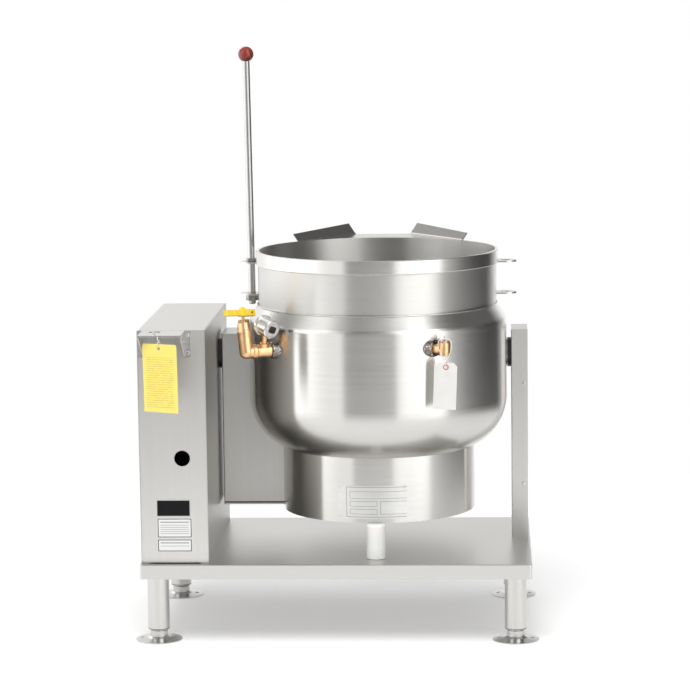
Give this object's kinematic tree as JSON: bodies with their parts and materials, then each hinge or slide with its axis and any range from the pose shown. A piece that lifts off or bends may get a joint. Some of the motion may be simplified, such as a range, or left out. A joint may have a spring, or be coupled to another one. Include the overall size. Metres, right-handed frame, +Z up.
{
  "type": "tilting steam kettle",
  "caption": "Table-top electric tilting steam kettle: jacketed bowl with pouring lip on side trunnions, control console, post, tray stand and levelling feet.",
  "frame": {"origin": "on the floor, midway between the sides of the stand, below the kettle's upright axis in depth", "axes": "+Z up, +Y towards the operator and the pouring lip, +X towards the post side"},
  "size_m": [0.766, 0.6507, 1.1149],
  "materials": {
    "steel": "satin brushed stainless sheet",
    "foot_steel": "turned stainless",
    "turned_steel": "fine turned stainless",
    "screw_steel": "bright",
    "zinc_steel": "zinc plated, dull",
    "dark_steel": "heat darkened",
    "white_plastic": "smooth off-white",
    "black_plastic": "smooth black",
    "red_plastic": "glossy red",
    "lamp_amber": "translucent amber lens",
    "plate_aluminium": "bare satin foil plate",
    "brass": "cast and machined",
    "gauge_steel": "bright gauge case",
    "dial_white": "white printed dial",
    "pointer_black": "matt black",
    "gauge_glass": "clear flat lens",
    "yellow_enamel": "yellow dipped coating",
    "yellow_card": "coated tag card",
    "white_card": "tag card",
    "white_string": "twisted cotton string"
  },
  "bodies": {
    "stand": {"base_tray": "steel", "leg_frame": "steel", "leg_tubes": "steel", "bumper": "white_plastic", "console_wrap": "steel", "rear_panel": "steel", "control_panel": "steel", "shelf_bracket": "steel", "screws": "screw_steel", "subpanel": "zinc_steel", "contactor": "black_plastic", "thermostat_body": "black_plastic", "pilot_lamps": "lamp_amber", "switch_body": "black_plastic", "panel_plates": "plate_aluminium", "bushes": "black_plastic", "left_bearing_plate": "zinc_steel", "trunnion_collar": "zinc_steel", "post_channel": "steel", "post_cover": "steel", "right_bearing_block": "zinc_steel", "yellow_string": "white_string"},
    "kettle": {"inner_bowl": "steel", "rim_band": "steel", "jacket_shell": "steel", "jacket_dish": "steel", "heaters": "dark_steel", "skirt": "steel", "skirt_cover": "steel", "trunnion_box": "steel", "trunnion_box_cap": "steel", "left_trunnion": "turned_steel", "right_trunnion": "turned_steel", "pour_lip": "steel", "handle_brackets": "steel", "handle_rod": "turned_steel", "handle_ball": "red_plastic", "handle_nuts": "screw_steel", "port_couplings": "turned_steel", "brass_fittings": "brass", "gauge_case": "gauge_steel", "gauge_dial": "dial_white", "gauge_glass": "gauge_glass", "vent_valve": "brass", "safety_valve": "brass", "skirt_plate": "plate_aluminium"},
    "foot_rear_left": {"foot_rear_left": "foot_steel"},
    "foot_rear_right": {"foot_rear_right": "foot_steel"},
    "foot_front_left": {"foot_front_left": "foot_steel"},
    "foot_front_right": {"foot_front_right": "foot_steel"},
    "thermostat_dial": {"thermostat_dial": "black_plastic"},
    "switch_rocker": {"switch_rocker": "red_plastic"},
    "vent_lever": {"vent_lever": "yellow_enamel"},
    "gauge_pointer": {"gauge_pointer": "pointer_black"},
    "safety_pull": {"safety_pull": "turned_steel", "white_string": "white_string"},
    "yellow_tag": {"yellow_tag": "yellow_card", "yellow_tag_loop": "white_string"},
    "white_tag": {"white_tag": "white_card", "white_tag_loop": "white_string"}
  },
  "joints": [
    {"name": "kettle_tilt", "type": "hinge", "parent": "stand", "child": "kettle", "pos_m": [0.075, 0.052, 0.5135], "axis": [-1, 0, 0], "range_deg": [0, 95]},
    {"name": "thermostat_turn", "type": "hinge", "parent": "stand", "child": "thermostat_dial", "pos_m": [-0.303, 0.1912, 0.466], "axis": [0, 1, 0], "range_deg": [0, 300]},
    {"name": "rocker_press", "type": "hinge", "parent": "stand", "child": "switch_rocker", "pos_m": [-0.303, 0.1912, 0.391], "axis": [1, 0, 0], "range_deg": [0, 16]},
    {"name": "vent_lever_turn", "type": "hinge", "parent": "kettle", "child": "vent_lever", "pos_m": [-0.1703, -0.17643, 0.59651], "axis": [-0.0984, 0.221, 0.9703], "range_deg": [0, 90]},
    {"name": "gauge_needle", "type": "hinge", "parent": "kettle", "child": "gauge_pointer", "pos_m": [-0.1255, -0.1884, 0.59476], "axis": [-0.651, 0.7232, 0.2307], "range_deg": [-270, 0], "stiffness_Nm_per_rad": 0.0005},
    {"name": "safety_lift", "type": "slide", "parent": "kettle", "child": "safety_pull", "axis": [0, 0, 1], "range_m": [0, 0.003], "stiffness_N_per_m": 3000},
    {"name": "yellow_tag_swing", "type": "hinge", "parent": "stand", "child": "yellow_tag", "pos_m": [-0.316, -0.316, 0.5798], "axis": [0.8746, -0.4848, 0], "range_deg": [-60, 12]},
    {"name": "white_tag_swing", "type": "hinge", "parent": "safety_pull", "child": "white_tag", "pos_m": [0.21102, -0.24841, 0.5331], "axis": [0.9903, -0.1392, 0], "range_deg": [-60, 8]},
    {"name": "foot_rear_left_level", "type": "slide", "parent": "stand", "child": "foot_rear_left", "axis": [0, 0, -1], "range_m": [0, 0.025]},
    {"name": "foot_front_left_level", "type": "slide", "parent": "stand", "child": "foot_front_left", "axis": [0, 0, -1], "range_m": [0, 0.025]},
    {"name": "foot_rear_right_level", "type": "slide", "parent": "stand", "child": "foot_rear_right", "axis": [0, 0, -1], "range_m": [0, 0.025]},
    {"name": "foot_front_right_level", "type": "slide", "parent": "stand", "child": "foot_front_right", "axis": [0, 0, -1], "range_m": [0, 0.025]}
  ]
}
